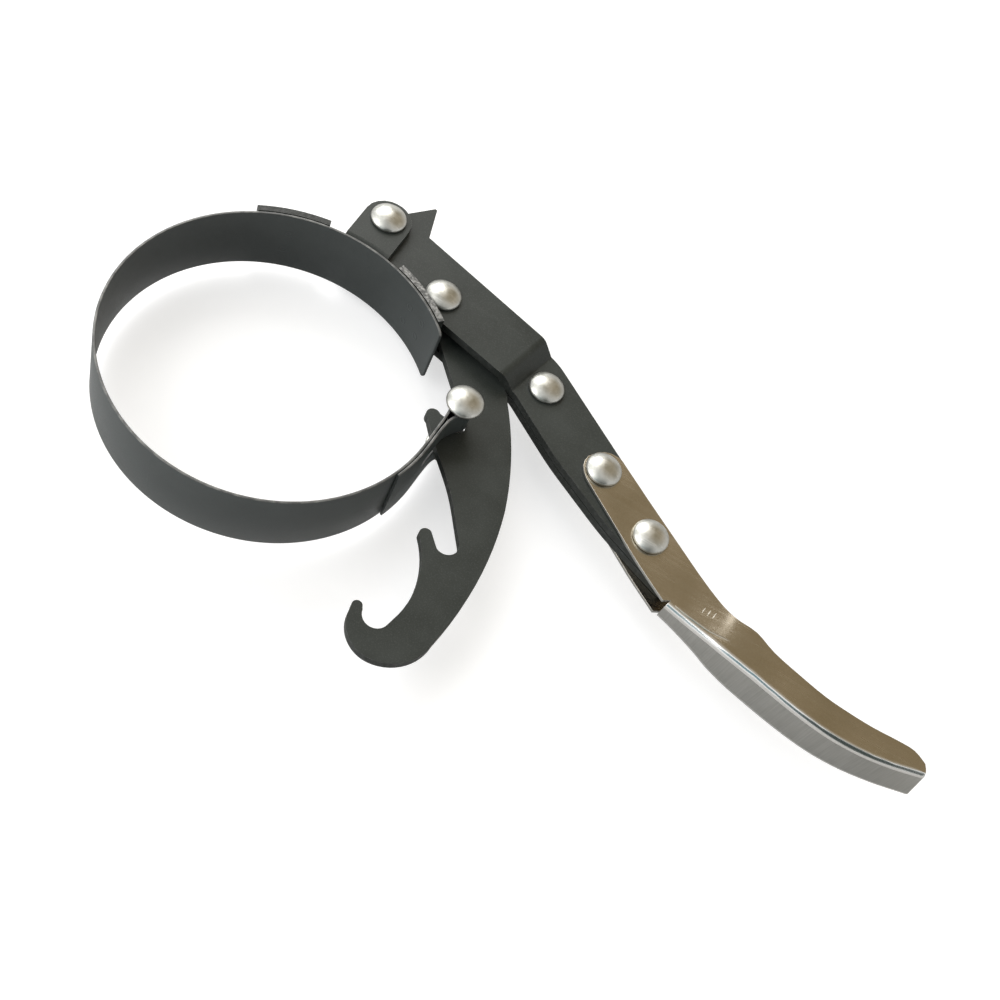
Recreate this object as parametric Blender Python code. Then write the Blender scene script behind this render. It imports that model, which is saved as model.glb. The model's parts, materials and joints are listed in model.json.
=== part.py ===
"""A band-type oil filter wrench: a spring-steel strap closed round the filter by a three-notch hook plate.

The design frame has its origin at the middle of the strap's loop, with the handle along +X and the
loop's axis along +Z; everything is mirrored about the plane z = 0. Dimensions are millimetres and
angles are degrees, and new_object turns millimetres into metres. At the end the whole tool is moved
so that it stands on z = 0 with its bounding box centred on the origin.
"""

import math

import bmesh
import bpy
from mathutils import Vector

MM = 0.001

# How finely curves are divided, and the gaps between neighbours.
CHORD_ERROR = 0.02
FLAT_GAP = 0.15
ROUND_SIDES = 32

# Strap: a strip of spring steel.
LOOP_RADIUS = 44.0
STRAP_THICKNESS = 0.7
STRAP_HALF_WIDTH = 10.2
STRAP_END_ANGLE = 44.6
STRAP_FLEX_ANGLE = 180.0
STRAP_FLEX_GAP = 0.2
STRAP_TAIL_ANGLE = -18.0
STRAP_TAIL_GAP = 0.15
STRAP_MIDDLE = LOOP_RADIUS + STRAP_THICKNESS / 2
STRAP_LOOP_END_ANGLE = 358.0
STRAP_TAIL_FROM_ANGLE = -2.0
SLOT_HALF_HEIGHT = 1.5
SLOT_BOTTOM = -0.8
SLOT_MARGIN = 3.0

# Strap pin, in the end loop of the strap.
PIN_AXIS = (46.8, 15.4)
PIN_RADIUS = 2.25
PIN_WRAP = PIN_RADIUS + 0.1 + STRAP_THICKNESS / 2
PIN_MEET_ANGLE = 205.0
PIN_LEAVE_ANGLE = -46.0
PIN_HEAD_GAP = 0.3

# Saddle: a thicker band outside the strap, with two tabs that carry the pivot.
SADDLE_THICKNESS = 1.8
SADDLE_MIDDLE = LOOP_RADIUS + STRAP_THICKNESS + 0.3 + SADDLE_THICKNESS / 2
SADDLE_FROM = 50.0
SADDLE_TO = 128.0
TAB_TOP = 8.8
TAB_CENTRE_X = 0.7
TAB_HALF_WIDTH = 6.8
TAB_BEND_RADIUS = 1.5
RELIEF_LEFT = 4.4
RELIEF_RIGHT = 4.5

# Rivets: low domed heads on both ends of a plain shank.
SHANK_RADIUS = 2.3
HOLE_RADIUS = 2.5
HEAD_RADIUS = 5.1
HEAD_HEIGHT = 2.9
HEAD_RIM = 0.7
HEAD_UNDERCUT = 0.2
DOME_STEPS = 7
PIVOT_AXIS = (0.8, 57.9)
HOOK_AXIS = (25.4, 45.9)
ARM_RIVET_AXIS = (62.6, 40.0)
GRIP_RIVET_AXES = ((87.0, 25.1), (106.2, 14.1))

# Arm plates: two mirrored plates, apart at the pivots and together behind the crease.
PLATE = 2.5
PIVOT_PLATE_BOTTOM = 4.2
LOWER_PLATE_BOTTOM = FLAT_GAP
CREASE_POINT = (53.9, 51.8)
PIVOT_SECTION_ANGLE = -13.6
CREASE_BEND_RADIUS = 1.85
CREASE_SETBACK = 0.9
ARM_END_RADIUS = 6.2
SADDLE_CLEARANCE_RADIUS = 47.3

# Hook plate.
NOTCH_RADIUS = 3.3
HOOK_CLEARANCE_RADIUS = 47.9
HOOK_LOBE_RADIUS = 8.0
HOOK_LOBE_INNER_RADIUS = 4.8

# Spacers on the two pivots.
SLEEVE_RADIUS = 4.0
SPACER_RADIUS = 4.7

# Grip: folded sheet, open on the side away from the hook plate.
GRIP_SHEET = 1.0
GRIP_FLANGE_HALF_HEIGHT = LOWER_PLATE_BOTTOM + PLATE + FLAT_GAP + GRIP_SHEET
GRIP_HALF_HEIGHT = 6.75
GRIP_BEND_RADIUS = 1.4
GRIP_NOSE_RADIUS = 5.6
GRIP_NOSE_WIDER = 1.4
GRIP_NOSE_DIRECTION = -32.0
GRIP_NOSE_TURNS = (14, 32, 50, 70)
GRIP_END_SLANT = 1.8
GRIP_SLANT_ROWS = 8

BLACK_OXIDE = ("black_oxide_steel", (0.052, 0.056, 0.053), 0.46, 0.85)
ZINC = ("zinc_plated_rivets", (0.62, 0.61, 0.57), 0.34, 1.0)
NICKEL = ("nickel_plated_sheet", (0.50, 0.46, 0.40), 0.28, 1.0)
PLAIN_STEEL = ("plain_steel", (0.42, 0.42, 0.41), 0.42, 1.0)


# ---------------------------------------------------------------- plane geometry


def polar(radius, angle, centre=(0.0, 0.0)):
    turn = math.radians(angle)
    return (centre[0] + radius * math.cos(turn), centre[1] + radius * math.sin(turn))


def steps_for(radius, sweep):
    """How many chords keep an arc of this radius and sweep within CHORD_ERROR."""
    widest = 2 * math.degrees(math.acos(max(0.0, 1 - CHORD_ERROR / radius)))
    return max(2, math.ceil(abs(sweep) / widest))


def arc(centre, radius, start, end):
    """The points of an arc from the start angle to the end angle."""
    count = steps_for(radius, end - start)
    return [polar(radius, start + (end - start) * i / count, centre) for i in range(count + 1)]


def arc_through(first, middle, last):
    """The points of the arc that runs from first through middle to last."""
    (ax, ay), (bx, by), (cx, cy) = first, middle, last
    double_area = 2 * (ax * (by - cy) + bx * (cy - ay) + cx * (ay - by))
    squares = [x * x + y * y for x, y in (first, middle, last)]
    x = (squares[0] * (by - cy) + squares[1] * (cy - ay) + squares[2] * (ay - by)) / double_area
    y = (squares[0] * (cx - bx) + squares[1] * (ax - cx) + squares[2] * (bx - ax)) / double_area
    start = math.degrees(math.atan2(ay - y, ax - x))
    sweep = math.degrees(math.atan2(cy - y, cx - x)) - start
    if double_area > 0:
        sweep %= 360
    else:
        sweep = -(-sweep % 360)
    return arc((x, y), math.hypot(ax - x, ay - y), start, start + sweep)


def rounded(corners, closed=True):
    """An outline from (x, y) points and (x, y, radius) corners, each radius made as a tangent arc."""
    points = []
    for i, corner in enumerate(corners):
        inner = closed or 0 < i < len(corners) - 1
        if len(corner) == 2 or not inner:
            points.append(tuple(corner[:2]))
            continue
        here = Vector(corner[:2])
        back = (Vector(corners[i - 1][:2]) - here).normalized()
        ahead = (Vector(corners[(i + 1) % len(corners)][:2]) - here).normalized()
        half = back.angle(ahead) / 2
        centre = here + (back + ahead).normalized() * corner[2] / math.sin(half)
        start = here + back * corner[2] / math.tan(half) - centre
        end = here + ahead * corner[2] / math.tan(half) - centre
        first = math.degrees(math.atan2(start.y, start.x))
        sweep = math.degrees(math.atan2(end.y, end.x)) - first
        sweep = (sweep + 180) % 360 - 180
        points += arc(tuple(centre), corner[2], first, first + sweep)
    return points


def strip(path, thickness):
    """The closed outline of a strip of this thickness bent along an open path."""
    left, right = [], []
    for i, point in enumerate(path):
        before = Vector(path[max(i - 1, 0)])
        after = Vector(path[min(i + 1, len(path) - 1)])
        along = (after - before).normalized()
        across = Vector((-along.y, along.x)) * thickness / 2
        left.append(tuple(Vector(point) + across))
        right.append(tuple(Vector(point) - across))
    return right + left[::-1]


def smooth_through(rows, count):
    """Rows of numbers joined by a Catmull-Rom curve, with count steps between each pair of rows."""
    points = []
    for i in range(len(rows) - 1):
        a, b = Vector(rows[max(i - 1, 0)]), Vector(rows[i])
        c, d = Vector(rows[i + 1]), Vector(rows[min(i + 2, len(rows) - 1)])
        for k in range(count):
            t = k / count
            tangent = (c - a) * t + (2 * a - 5 * b + 4 * c - d) * t * t + (3 * b - a - 3 * c + d) * t**3
            points.append(tuple(b + tangent / 2))
    points.append(tuple(rows[-1]))
    return points


def without_repeats(points):
    kept = []
    for point in points:
        if not kept or math.dist(point, kept[-1]) > 0.01:
            kept.append(point)
    if math.dist(kept[0], kept[-1]) < 0.01:
        kept.pop()
    return kept


# ---------------------------------------------------------------- solids as (points, faces)


def prism(outline, bottom, top):
    """A counter-clockwise plan outline as an upright solid."""
    outline = without_repeats(outline)
    count = len(outline)
    points = [(x, y, bottom) for x, y in outline] + [(x, y, top) for x, y in outline]
    sides = [(i, (i + 1) % count, (i + 1) % count + count, i + count) for i in range(count)]
    return points, sides + [tuple(range(count))[::-1], tuple(range(count, 2 * count))]


def turned(profile, centre, sides=ROUND_SIDES):
    """A solid of revolution about an upright axis, from (radius, z) points, bottom to top, axis to axis."""
    points = [(centre[0], centre[1], profile[0][1])]
    for radius, z in profile[1:-1]:
        ring = [polar(radius, 360 * i / sides, centre) for i in range(sides)]
        points += [(x, y, z) for x, y in ring]
    points.append((centre[0], centre[1], profile[-1][1]))
    last = len(points) - 1
    rings = len(profile) - 2
    faces = []
    for i in range(sides):
        j = (i + 1) % sides
        faces.append((0, 1 + j, 1 + i))
        for k in range(rings - 1):
            low = 1 + k * sides
            faces.append((low + i, low + j, low + sides + j, low + sides + i))
        top = 1 + (rings - 1) * sides
        faces.append((top + i, top + j, last))
    return points, faces


def ring(centre, inner, outer, bottom, top, sides=ROUND_SIDES):
    """A plain tube about an upright axis."""
    corners = ((inner, bottom), (outer, bottom), (outer, top), (inner, top))
    points = []
    for radius, z in corners:
        points += [(*polar(radius, 360 * i / sides, centre), z) for i in range(sides)]
    faces = []
    for k in range(4):
        low, high = k * sides, (k + 1) % 4 * sides
        for i in range(sides):
            j = (i + 1) % sides
            faces.append((low + i, low + j, high + j, high + i))
    return points, faces


def double_headed_rivet(centre, shank, underside):
    """A shank with a domed head beyond z = +underside and another beyond z = -underside."""
    rise = HEAD_HEIGHT - HEAD_RIM
    shoulder = underside + HEAD_RIM
    turns = [math.radians(90 * k / DOME_STEPS) for k in range(1, DOME_STEPS)]
    dome = [(HEAD_RADIUS * math.cos(turn), shoulder + rise * math.sin(turn)) for turn in turns]
    foot = [(shank, underside), (HEAD_RADIUS - HEAD_UNDERCUT, underside), (HEAD_RADIUS, shoulder)]
    upper = foot + dome + [(0.0, underside + HEAD_HEIGHT)]
    lower = [(radius, -z) for radius, z in reversed(upper)]
    return turned(lower + upper, centre)


# ---------------------------------------------------------------- Blender objects


def clear_scene():
    for obj in list(bpy.data.objects):
        bpy.data.objects.remove(obj, do_unlink=True)


def material(name, colour, roughness, metallic):
    made = bpy.data.materials.get(name)
    if made is None:
        made = bpy.data.materials.new(name)
        made.use_nodes = True
        shader = made.node_tree.nodes["Principled BSDF"]
        shader.inputs["Base Color"].default_value = (*colour, 1.0)
        shader.inputs["Roughness"].default_value = roughness
        shader.inputs["Metallic"].default_value = metallic
    return made


def new_axis(name, place, parent=None):
    """An empty on an upright axis; what turns about the axis is parented to it."""
    empty = bpy.data.objects.new(name, None)
    empty.empty_display_size = 10 * MM
    empty["place"] = (place[0], place[1], 0.0)
    bpy.context.collection.objects.link(empty)
    if parent is None:
        empty.location = Vector(empty["place"]) * MM
    else:
        empty.parent = parent
        empty.location = (Vector(empty["place"]) - Vector(parent["place"])) * MM
    return empty


def new_object(name, solid, finish, axis):
    """An object with its origin on the given axis, from a solid in the design frame."""
    points, faces = solid
    origin = Vector(axis["place"])
    mesh = bpy.data.meshes.new(name)
    mesh.from_pydata([(Vector(point) - origin) * MM for point in points], [], faces)
    mesh.materials.append(material(*finish))
    mesh.shade_smooth()
    mesh.set_sharp_from_angle(angle=math.radians(35))
    mesh.update()
    obj = bpy.data.objects.new(name, mesh)
    obj.parent = axis
    bpy.context.collection.objects.link(obj)
    return obj


def boolean(obj, operation, name, solid, axis):
    """Combines the object with a hidden helper solid."""
    helper = new_object(name, solid, PLAIN_STEEL, axis)
    helper.hide_render = True
    helper.display_type = "WIRE"
    modifier = obj.modifiers.new(name, "BOOLEAN")
    modifier.operation = operation
    modifier.solver = "EXACT"
    modifier.object = helper


def drill(obj, name, centre, axis, radius=HOLE_RADIUS, reach=15.0):
    """A through hole along Z."""
    outline = [polar(radius, 360 * i / ROUND_SIDES, centre) for i in range(ROUND_SIDES)]
    boolean(obj, "DIFFERENCE", name, prism(outline, -reach, reach), axis)


def thicken(obj, thickness):
    modifier = obj.modifiers.new("sheet thickness", "SOLIDIFY")
    modifier.thickness = thickness * MM
    modifier.offset = 0.0
    modifier.use_even_offset = True


# ---------------------------------------------------------------- strap and pin


def strap_fixed(band):
    path = arc((0, 0), STRAP_MIDDLE, STRAP_END_ANGLE, STRAP_FLEX_ANGLE - STRAP_FLEX_GAP)
    solid = prism(strip(path, STRAP_THICKNESS), -STRAP_HALF_WIDTH, STRAP_HALF_WIDTH)
    new_object("strap_fixed_half", solid, BLACK_OXIDE, band)


def strap_free_path():
    """From the flexing place round the bottom, up to the pin, round it and back along the outside."""
    loop = arc((0, 0), STRAP_MIDDLE, STRAP_FLEX_ANGLE + STRAP_FLEX_GAP, STRAP_LOOP_END_ANGLE)
    wrap = arc(PIN_AXIS, PIN_WRAP, PIN_MEET_ANGLE, PIN_LEAVE_ANGLE)
    outer = STRAP_MIDDLE + STRAP_THICKNESS + STRAP_TAIL_GAP
    tail = arc((0, 0), outer, STRAP_TAIL_FROM_ANGLE, STRAP_TAIL_ANGLE)
    neck_in = smooth_through([loop[-2], loop[-1], (44.5, 4.0), (44.65, 9.0), wrap[0], wrap[1]], 4)
    neck_out = smooth_through([wrap[-2], wrap[-1], (46.4, 9.6), (45.6, 5.8), tail[0], tail[1]], 4)
    return loop[:-1] + neck_in[4:-4] + wrap[1:-1] + neck_out[4:-4] + tail[1:]


def strap_free(flex):
    solid = prism(strip(strap_free_path(), STRAP_THICKNESS), -STRAP_HALF_WIDTH, STRAP_HALF_WIDTH)
    strap = new_object("strap_free_half", solid, BLACK_OXIDE, flex)
    left = LOOP_RADIUS - SLOT_MARGIN
    right = PIN_AXIS[0] + PIN_WRAP + SLOT_MARGIN
    top = PIN_AXIS[1] + PIN_WRAP + SLOT_MARGIN
    window = [(left, SLOT_BOTTOM), (right, SLOT_BOTTOM), (right, top), (left, top)]
    slot = prism(window, -SLOT_HALF_HEIGHT, SLOT_HALF_HEIGHT)
    boolean(strap, "DIFFERENCE", "strap_slot_cutter", slot, flex)


def strap_pin(pin):
    underside = STRAP_HALF_WIDTH + PIN_HEAD_GAP
    new_object("strap_pin", double_headed_rivet(PIN_AXIS, PIN_RADIUS, underside), ZINC, pin)


# ---------------------------------------------------------------- saddle


def saddle(band):
    """The band is a grid of columns along its length; at the tabs the outer rows fold outwards."""
    radius = SADDLE_MIDDLE
    fold = TAB_TOP - SADDLE_THICKNESS / 2 - TAB_BEND_RADIUS
    tab_left = TAB_CENTRE_X - TAB_HALF_WIDTH
    tab_right = TAB_CENTRE_X + TAB_HALF_WIDTH
    relief_left = math.degrees(math.acos((tab_left - RELIEF_LEFT) / radius))
    relief_right = math.degrees(math.acos((tab_right + RELIEF_RIGHT) / radius))
    root_left = math.degrees(math.acos(tab_left / radius))
    root_right = math.degrees(math.acos(tab_right / radius))
    spans = (
        (SADDLE_FROM, relief_right, 8, "full"),
        (relief_right, root_right, 2, "low"),
        (root_right, root_left, 8, "tab"),
        (root_left, relief_left, 2, "low"),
        (relief_left, SADDLE_TO, 8, "full"),
    )
    grid = bmesh.new()
    made = {}

    def vertex(x, y, z):
        key = (round(x, 4), round(y, 4), round(z, 4))
        if key not in made:
            made[key] = grid.verts.new((Vector(key) - Vector(band["place"])) * MM)
        return made[key]

    def quads(first, second):
        for k in range(len(first) - 1):
            corners = (first[k], second[k], second[k + 1], first[k + 1])
            grid.faces.new([vertex(*corner) for corner in corners])

    def wall(angle, high):
        x, y = polar(radius, angle)
        levels = (-high, 0.0, high) if high == fold else (-high, -fold, 0.0, fold, high)
        return [(x, y, z) for z in levels]

    def folded(angle, side):
        """One column of a tab, from the wall round the bend and out to the rounded end."""
        x, y = polar(radius, angle)
        column = [(x, y, side * fold)]
        for k in (1, 2, 3):
            turn = math.radians(30 * k)
            out = TAB_BEND_RADIUS * (1 - math.cos(turn))
            up = TAB_BEND_RADIUS * math.sin(turn)
            column.append((x, y + out, side * (fold + up)))
        z = side * (fold + TAB_BEND_RADIUS)
        share = (x - TAB_CENTRE_X) / TAB_HALF_WIDTH
        for reach in (0.35, 0.7, 1.0):
            start = y + TAB_BEND_RADIUS
            column.append((x, start + (PIVOT_AXIS[1] - start) * reach, z))
        for turn in (18, 36, 54, 70, 82):
            wide, far = polar(TAB_HALF_WIDTH, turn)
            column.append((TAB_CENTRE_X + share * wide, PIVOT_AXIS[1] + far, z))
        return column

    for start, end, count, kind in spans:
        angles = [start + (end - start) * k / count for k in range(count + 1)]
        high = STRAP_HALF_WIDTH if kind == "full" else fold
        for first, second in zip(angles, angles[1:]):
            quads(wall(first, high), wall(second, high))
            if kind == "tab":
                quads(folded(first, 1), folded(second, 1))
                quads(folded(second, -1), folded(first, -1))
    bmesh.ops.recalc_face_normals(grid, faces=grid.faces)
    obj = new_object("saddle", ([], []), BLACK_OXIDE, band)
    grid.to_mesh(obj.data)
    grid.free()
    obj.data.shade_smooth()
    obj.data.set_sharp_from_angle(angle=math.radians(50))
    thicken(obj, SADDLE_THICKNESS)
    drill(obj, "saddle_pivot_hole", PIVOT_AXIS, band)


# ---------------------------------------------------------------- handle


def arm_outline():
    """The arm plate in plan, counter-clockwise from the pivot's end."""
    horn = (9.4, 73.2)
    horn_foot = (12.6, 61.9)
    end = arc(PIVOT_AXIS, ARM_END_RADIUS, 76, 250)
    beside_saddle = arc((0, 0), SADDLE_CLEARANCE_RADIUS, 79, 53.4)
    inner_edge = [
        (49.8, 33.4, 6.0), (55.2, 33.6, 6.0), (74.0, 21.6, 90.0), (94.4, 11.2, 90.0),
        (107.0, 6.3, 12.0), (116.4, 3.0, 1.5),
    ]
    outer_edge = [(120.7, 13.0, 2.0), (61.6, 50.3, 20.0), horn_foot, (*horn, 0.5)]
    return rounded(end + beside_saddle + inner_edge + outer_edge)


def joggle_profile(side):
    """The plate's side view along the pivot section, as a bent strip in (distance, z)."""
    high = PIVOT_PLATE_BOTTOM + PLATE / 2
    low = LOWER_PLATE_BOTTOM + PLATE / 2
    bend = CREASE_SETBACK
    path = rounded(
        [
            (-80.0, high),
            (bend, high, CREASE_BEND_RADIUS),
            (bend + high - low, low, CREASE_BEND_RADIUS),
            (90.0, low),
        ],
        closed=False,
    )
    return [(along, side * z) for along, z in strip(path, PLATE)][::side]


def joggle_solid(side):
    """The joggled sheet before it is cut to its outline: the side view drawn out across the arm."""
    along = Vector(polar(1.0, PIVOT_SECTION_ANGLE))
    across = Vector((-along.y, along.x))
    start = Vector(CREASE_POINT)
    outline = without_repeats(joggle_profile(side))
    count = len(outline)
    points = []
    for reach in (60.0, -60.0):
        for distance, z in outline:
            place = start + along * distance + across * reach
            points.append((place.x, place.y, z))
    faces = [(i, (i + 1) % count, (i + 1) % count + count, i + count) for i in range(count)]
    return points, faces + [tuple(range(count))[::-1], tuple(range(count, 2 * count))]


def arm_plate(name, side, handle):
    reach = 20.0
    arm = new_object(name, prism(arm_outline(), -reach, reach), BLACK_OXIDE, handle)
    boolean(arm, "INTERSECT", name + "_joggle", joggle_solid(side), handle)
    places = (PIVOT_AXIS, HOOK_AXIS, ARM_RIVET_AXIS, *GRIP_RIVET_AXES)
    for number, place in enumerate(places, 1):
        drill(arm, f"{name}_hole_{number}", place, handle)


def pivot_parts(band, handle):
    under_tab_head = TAB_TOP + FLAT_GAP
    pivot = double_headed_rivet(PIVOT_AXIS, SHANK_RADIUS, under_tab_head)
    new_object("pivot_rivet", pivot, ZINC, band)
    between = PIVOT_PLATE_BOTTOM - FLAT_GAP
    sleeve = ring(PIVOT_AXIS, HOLE_RADIUS, SLEEVE_RADIUS, -between, between)
    new_object("pivot_sleeve", sleeve, PLAIN_STEEL, handle)


def handle_rivets(handle):
    over_pivot_plate = PIVOT_PLATE_BOTTOM + PLATE + FLAT_GAP
    over_lower_plate = LOWER_PLATE_BOTTOM + PLATE + FLAT_GAP
    over_grip = GRIP_FLANGE_HALF_HEIGHT + FLAT_GAP
    rivets = (
        ("hook_rivet", HOOK_AXIS, over_pivot_plate),
        ("arm_rivet", ARM_RIVET_AXIS, over_lower_plate),
        ("grip_rivet_front", GRIP_RIVET_AXES[0], over_grip),
        ("grip_rivet_rear", GRIP_RIVET_AXES[1], over_grip),
    )
    for name, place, underside in rivets:
        new_object(name, double_headed_rivet(place, SHANK_RADIUS, underside), ZINC, handle)


# ---------------------------------------------------------------- hook plate


def hook_outline():
    """The hook plate in plan, counter-clockwise from the pivot lobe down the notched side."""
    lobe = arc(HOOK_AXIS, HOOK_LOBE_RADIUS, -30, 120)
    lobe_inner = arc(HOOK_AXIS, HOOK_LOBE_INNER_RADIUS, 165, 241)
    beside_saddle = arc((0, 0), HOOK_CLEARANCE_RADIUS, 60, 51)
    notch_1 = arc(PIN_AXIS, NOTCH_RADIUS, 50, -175)
    horn_1 = arc_through((42.2, 15.3), (39.6, 15.4), (40.2, 12.0))
    long_edge = [(43.9, 7.5, 14.0), (55.4, -3.8, 60.0)]
    notch_2 = arc((61.8, -18.1), NOTCH_RADIUS - 0.1, 25, -120)
    horn_2 = arc_through((56.9, -17.5), (55.1, -17.5), (54.6, -20.0))
    inner_curve = arc_through((54.6, -20.0), (60.7, -32.2), (60.8, -42.0))
    notch_3 = arc((56.4, -45.4), NOTCH_RADIUS + 0.2, -10, -170)
    horn_3 = arc_through((52.6, -45.4), (51.2, -44.4), (50.2, -46.6))
    toe = arc_through((50.2, -46.6), (53.0, -53.5), (60.3, -56.1))
    heel = arc_through((60.3, -56.1), (67.7, -52.6), (71.5, -44.0))
    back_low = arc_through((71.5, -44.0), (73.2, -27.0), (70.1, -0.7))
    back_high = arc_through((70.1, -0.7), (64.9, 13.6), (55.6, 30.2))
    under_arm = [(54.6, 32.0, 1.5), (49.6, 37.4, 6.0)]
    return rounded(
        without_repeats(lobe_inner + beside_saddle)
        + [(40.2, 26.5, 6.0)]
        + notch_1
        + horn_1
        + long_edge
        + without_repeats(notch_2 + horn_2 + inner_curve + notch_3 + horn_3)
        + without_repeats(toe + heel + back_low + back_high)
        + under_arm
        + lobe
    )


def hook_parts(handle, hook):
    plate = new_object("hook_plate", prism(hook_outline(), -PLATE / 2, PLATE / 2), BLACK_OXIDE, hook)
    drill(plate, "hook_pivot_hole", HOOK_AXIS, hook)
    bottom = PLATE / 2 + FLAT_GAP
    top = PIVOT_PLATE_BOTTOM - FLAT_GAP
    upper = ring(HOOK_AXIS, HOLE_RADIUS, SPACER_RADIUS, bottom, top)
    lower = ring(HOOK_AXIS, HOLE_RADIUS, SPACER_RADIUS, -top, -bottom)
    new_object("hook_spacer_upper", upper, PLAIN_STEEL, handle)
    new_object("hook_spacer_lower", lower, PLAIN_STEEL, handle)


# ---------------------------------------------------------------- grip


def grip_rows():
    """Rows across the grip: (left x, left y, right x, right y, half height), nose first, and the number of
    rows that have no web yet."""
    nose = []
    low = GRIP_FLANGE_HALF_HEIGHT
    along = Vector(polar(1.0, GRIP_NOSE_DIRECTION))
    across = Vector((-along.y, along.x))
    centre = Vector(GRIP_RIVET_AXES[0])
    for turn in GRIP_NOSE_TURNS:
        back = along * -GRIP_NOSE_RADIUS * math.cos(math.radians(turn))
        side = across * math.sin(math.radians(turn))
        left = centre + back - side * GRIP_NOSE_RADIUS
        right = centre + back + side * (GRIP_NOSE_RADIUS + GRIP_NOSE_WIDER)
        nose.append((*left, *right, low))
    tongue = [
        (84.2, 20.0, 90.2, 31.4, low),
        (95.6, 12.3, 101.2, 24.6, low),
        (106.4, 5.0, 112.2, 18.0, low),
        (116.3, -0.9, 121.2, 12.6, low),
    ]
    channel = [
        (117.5, -1.5, 122.4, 11.9, low + 0.02),
        (121.6, -2.5, 126.0, 9.75, low + 0.2),
        (127.0, -3.9, 130.4, 7.1, low + 0.8),
        (131.0, -5.0, 133.4, 5.6, low + 1.4),
        (135.2, -6.3, 136.2, 4.5, GRIP_HALF_HEIGHT - 0.8),
        (141.0, -7.7, 141.4, 3.7, GRIP_HALF_HEIGHT - 0.2),
        (146.8, -8.85, 147.4, 1.0, GRIP_HALF_HEIGHT),
        (155.0, -10.4, 155.8, -1.0, GRIP_HALF_HEIGHT),
        (163.0, -11.5, 163.6, -2.5, GRIP_HALF_HEIGHT),
        (170.0, -11.9, 170.2, -3.0, GRIP_HALF_HEIGHT),
        (178.0, -11.4, 177.6, -3.1, GRIP_HALF_HEIGHT),
        (186.0, -10.0, 185.0, -2.6, GRIP_HALF_HEIGHT),
        (191.8, -8.5, 190.4, -2.6, GRIP_HALF_HEIGHT),
        (195.8, -7.4, 194.5, -4.4, GRIP_HALF_HEIGHT),
    ]
    tongue_rows = nose + smooth_through(tongue, 2)
    return tongue_rows + smooth_through(channel, 3), len(tongue_rows)


def grip(handle):
    """The middle of the sheet as a grid, thickened afterwards."""
    rows, tongue_count = grip_rows()
    half_sheet = GRIP_SHEET / 2
    flange_columns = 4
    grid = bmesh.new()
    lines = []
    for number, (left_x, left_y, right_x, right_y, height) in enumerate(rows):
        left, right = Vector((left_x, left_y)), Vector((right_x, right_y))
        inward = (right - left).normalized()
        level = height - half_sheet
        line = []
        has_web = number >= tongue_count
        start = left + inward * (half_sheet + GRIP_BEND_RADIUS if has_web else 0.0)
        for k in range(flange_columns + 1):
            place = right + (start - right) * k / flange_columns
            line.append((place.x, place.y, level))
        if has_web:
            for turn in (30, 60, 90):
                reach = GRIP_BEND_RADIUS * (1 - math.sin(math.radians(turn)))
                place = left + inward * (half_sheet + reach)
                drop = GRIP_BEND_RADIUS * (1 - math.cos(math.radians(turn)))
                line.append((place.x, place.y, level - drop))
        lines.append(line)
    origin = Vector(handle["place"])
    upper, lower = [], []
    for number, line in enumerate(lines, 1):
        slant = GRIP_END_SLANT / 2 * max(0.0, 1 - (len(lines) - number) / GRIP_SLANT_ROWS)
        upper.append([grid.verts.new((Vector((x - slant, y, z)) - origin) * MM) for x, y, z in line])
        lower.append([grid.verts.new((Vector((x + slant, y, -z)) - origin) * MM) for x, y, z in line])
    for number in range(len(lines) - 1):
        shared = min(len(lines[number]), len(lines[number + 1])) - 1
        for k in range(shared):
            a, b = upper[number], upper[number + 1]
            grid.faces.new((a[k], b[k], b[k + 1], a[k + 1]))
            a, b = lower[number], lower[number + 1]
            grid.faces.new((a[k], a[k + 1], b[k + 1], b[k]))
        if number >= tongue_count:
            a, b = upper[number], upper[number + 1]
            c, d = lower[number], lower[number + 1]
            grid.faces.new((a[-1], b[-1], d[-1], c[-1]))
    bmesh.ops.recalc_face_normals(grid, faces=grid.faces)
    obj = new_object("grip", ([], []), NICKEL, handle)
    grid.to_mesh(obj.data)
    grid.free()
    obj.data.shade_smooth()
    obj.data.set_sharp_from_angle(angle=math.radians(50))
    thicken(obj, GRIP_SHEET)
    for number, place in enumerate(GRIP_RIVET_AXES, 1):
        drill(obj, f"grip_hole_{number}", place, handle)


# ---------------------------------------------------------------- assembly


def stand_on_origin(root):
    """Moves the tool so that its bounding box is centred in X and Y and stands on z = 0."""
    bpy.context.view_layer.update()
    graph = bpy.context.evaluated_depsgraph_get()
    corners = []
    for obj in bpy.context.scene.objects:
        if obj.type == "MESH" and not obj.hide_render:
            shown = obj.evaluated_get(graph)
            corners += [shown.matrix_world @ vertex.co for vertex in shown.data.vertices]
    low = Vector([min(corner[i] for corner in corners) for i in range(3)])
    high = Vector([max(corner[i] for corner in corners) for i in range(3)])
    root.location = (-(low.x + high.x) / 2, -(low.y + high.y) / 2, -low.z)
    bpy.context.view_layer.update()


def build():
    clear_scene()
    band = new_axis("wrench", (0.0, 0.0))
    handle = new_axis("handle_axis", PIVOT_AXIS, band)
    hook = new_axis("hook_axis", HOOK_AXIS, handle)
    flex = new_axis("strap_flex_axis", polar(STRAP_MIDDLE, STRAP_FLEX_ANGLE), band)
    pin = new_axis("strap_pin_axis", PIN_AXIS, flex)
    strap_fixed(band)
    strap_free(flex)
    strap_pin(pin)
    saddle(band)
    arm_plate("arm_plate_upper", 1, handle)
    arm_plate("arm_plate_lower", -1, handle)
    pivot_parts(band, handle)
    handle_rivets(handle)
    hook_parts(handle, hook)
    grip(handle)
    stand_on_origin(band)


build()
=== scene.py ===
import json
import math

import bmesh
import bpy
from mathutils import Matrix, Vector
from mathutils.bvhtree import BVHTree

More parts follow.
